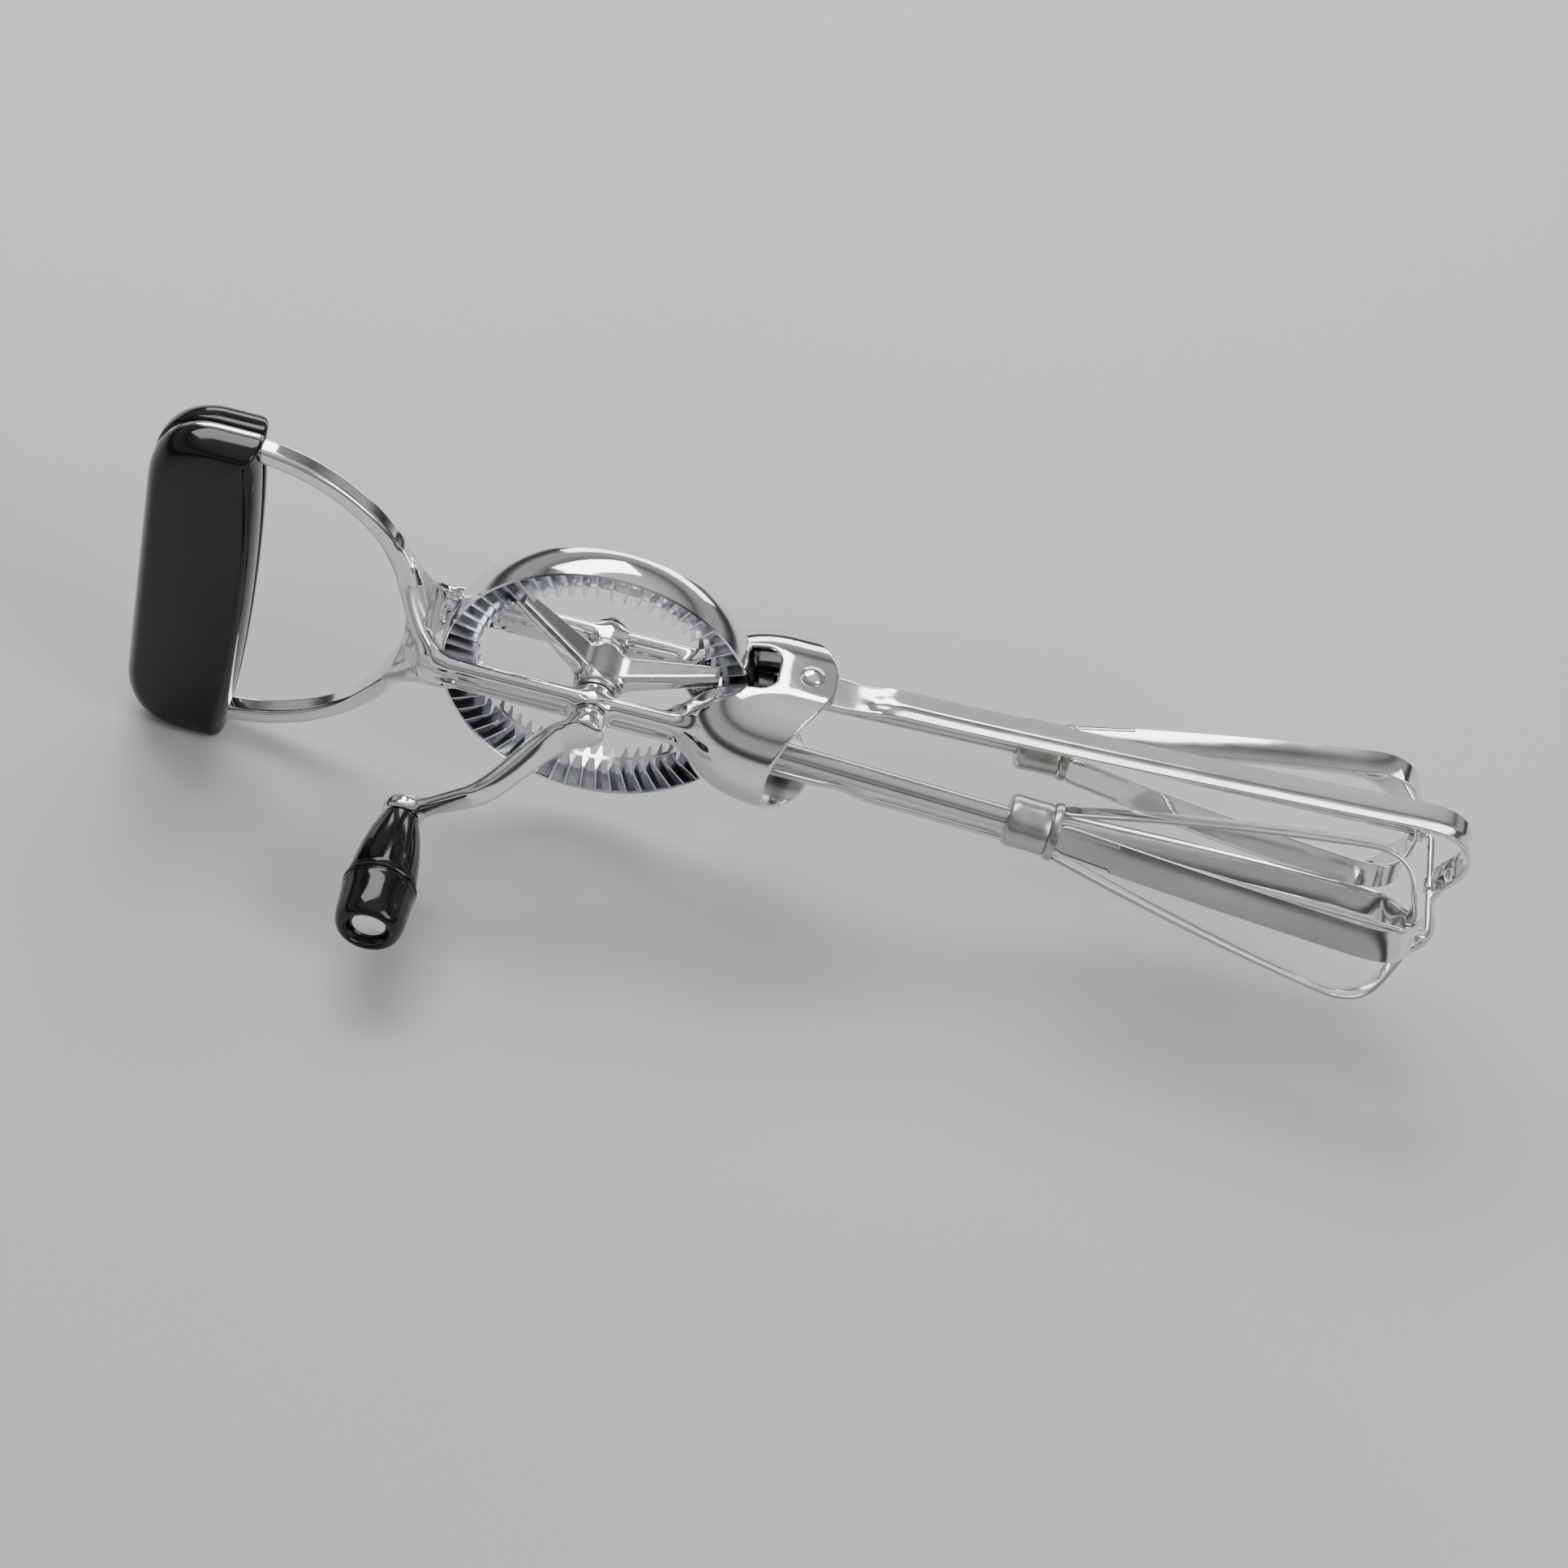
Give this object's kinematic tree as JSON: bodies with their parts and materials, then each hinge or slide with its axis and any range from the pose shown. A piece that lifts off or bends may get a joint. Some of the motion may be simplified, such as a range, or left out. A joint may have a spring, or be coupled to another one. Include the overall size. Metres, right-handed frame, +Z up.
{
  "type": "rotary egg beater",
  "caption": "Hand-crank rotary egg beater with a D-handle, a crank with a turning knob, a crown gear, and coupled beaters that turn inside a steel strap.",
  "frame": {"origin": "under the middle of the bounding box, level with its lowest point; the main gear's centre is at (-47.2, 14.953, 47) mm", "axes": "+X runs along the tool from the grip to the beaters, -Y is the crank's side, +Z is up with the tool lying level, in the plane of the main gear"},
  "size_m": [0.3036, 0.0988, 0.094],
  "materials": {
    "chrome_casting": "bright plated casting with a slightly uneven cast surface",
    "chrome_gear": "bright plated casting with satin fins",
    "chrome_crank": "bright plated steel strip",
    "polished_steel": "bright rolled strip with fine lengthwise lines",
    "blade_steel": "polished strip with fine lengthwise lines",
    "satin_steel": "satin drawn steel",
    "collar_steel": "satin turned steel",
    "bright_steel": "bright drawn steel",
    "dark_steel": "plain steel, darker than the plated parts",
    "bush_steel": "plain turned steel",
    "black_plastic": "glossy black moulded plastic",
    "black_plastic_knob": "glossy black moulded plastic"
  },
  "bodies": {
    "frame": {"frame_casting": "chrome_casting", "grip_front_shell": "black_plastic", "grip_back_shell": "black_plastic", "grip_screws": "bright_steel", "axle_bush_front": "bush_steel", "axle_bush_back": "bush_steel", "bearing_plate": "satin_steel", "strap": "polished_steel", "strap_rivet_upper": "bright_steel", "strap_rivet_lower": "bright_steel", "centre_wire": "bright_steel", "wire_clip": "bright_steel"},
    "crank": {"main_gear": "chrome_gear", "axle": "bright_steel", "gear_pin": "dark_steel", "crank_arm": "chrome_crank", "thrust_washer_front": "dark_steel", "thrust_washer_back": "dark_steel", "knob_pin": "bright_steel"},
    "knob": {"crank_knob": "black_plastic_knob"},
    "beater_front": {"shaft_tube_front": "satin_steel", "pinion_front": "dark_steel", "collar_front": "collar_steel", "blade_bow_front_a": "blade_steel", "blade_bow_front_b": "blade_steel", "tip_bush_front": "bright_steel"},
    "beater_back": {"shaft_tube_back": "satin_steel", "pinion_back": "dark_steel", "collar_back": "collar_steel", "blade_bow_back_a": "blade_steel", "blade_bow_back_b": "blade_steel", "tip_bush_back": "bright_steel"}
  },
  "joints": [
    {"name": "crank_turn", "type": "hinge", "parent": "frame", "child": "crank", "pos_m": [-0.0472, 0.01495, 0.047], "axis": [0, -1, 0], "continuous": true},
    {"name": "knob_spin", "type": "hinge", "parent": "crank", "child": "knob", "pos_m": [-0.08216, -0.03305, 0.01899], "axis": [0, -1, 0], "continuous": true},
    {"name": "beater_front_turn", "type": "hinge", "parent": "frame", "child": "beater_front", "pos_m": [-0.0472, 0.0073, 0.047], "axis": [0.9991, -0.0414, 0], "continuous": true},
    {"name": "beater_back_turn", "type": "hinge", "parent": "frame", "child": "beater_back", "pos_m": [-0.0472, 0.0226, 0.047], "axis": [0.9991, 0.0414, 0], "continuous": true}
  ],
  "couplings": [
    {"joint": "beater_front_turn", "follows": "crank_turn", "ratio": 5},
    {"joint": "beater_back_turn", "follows": "crank_turn", "ratio": -5}
  ]
}
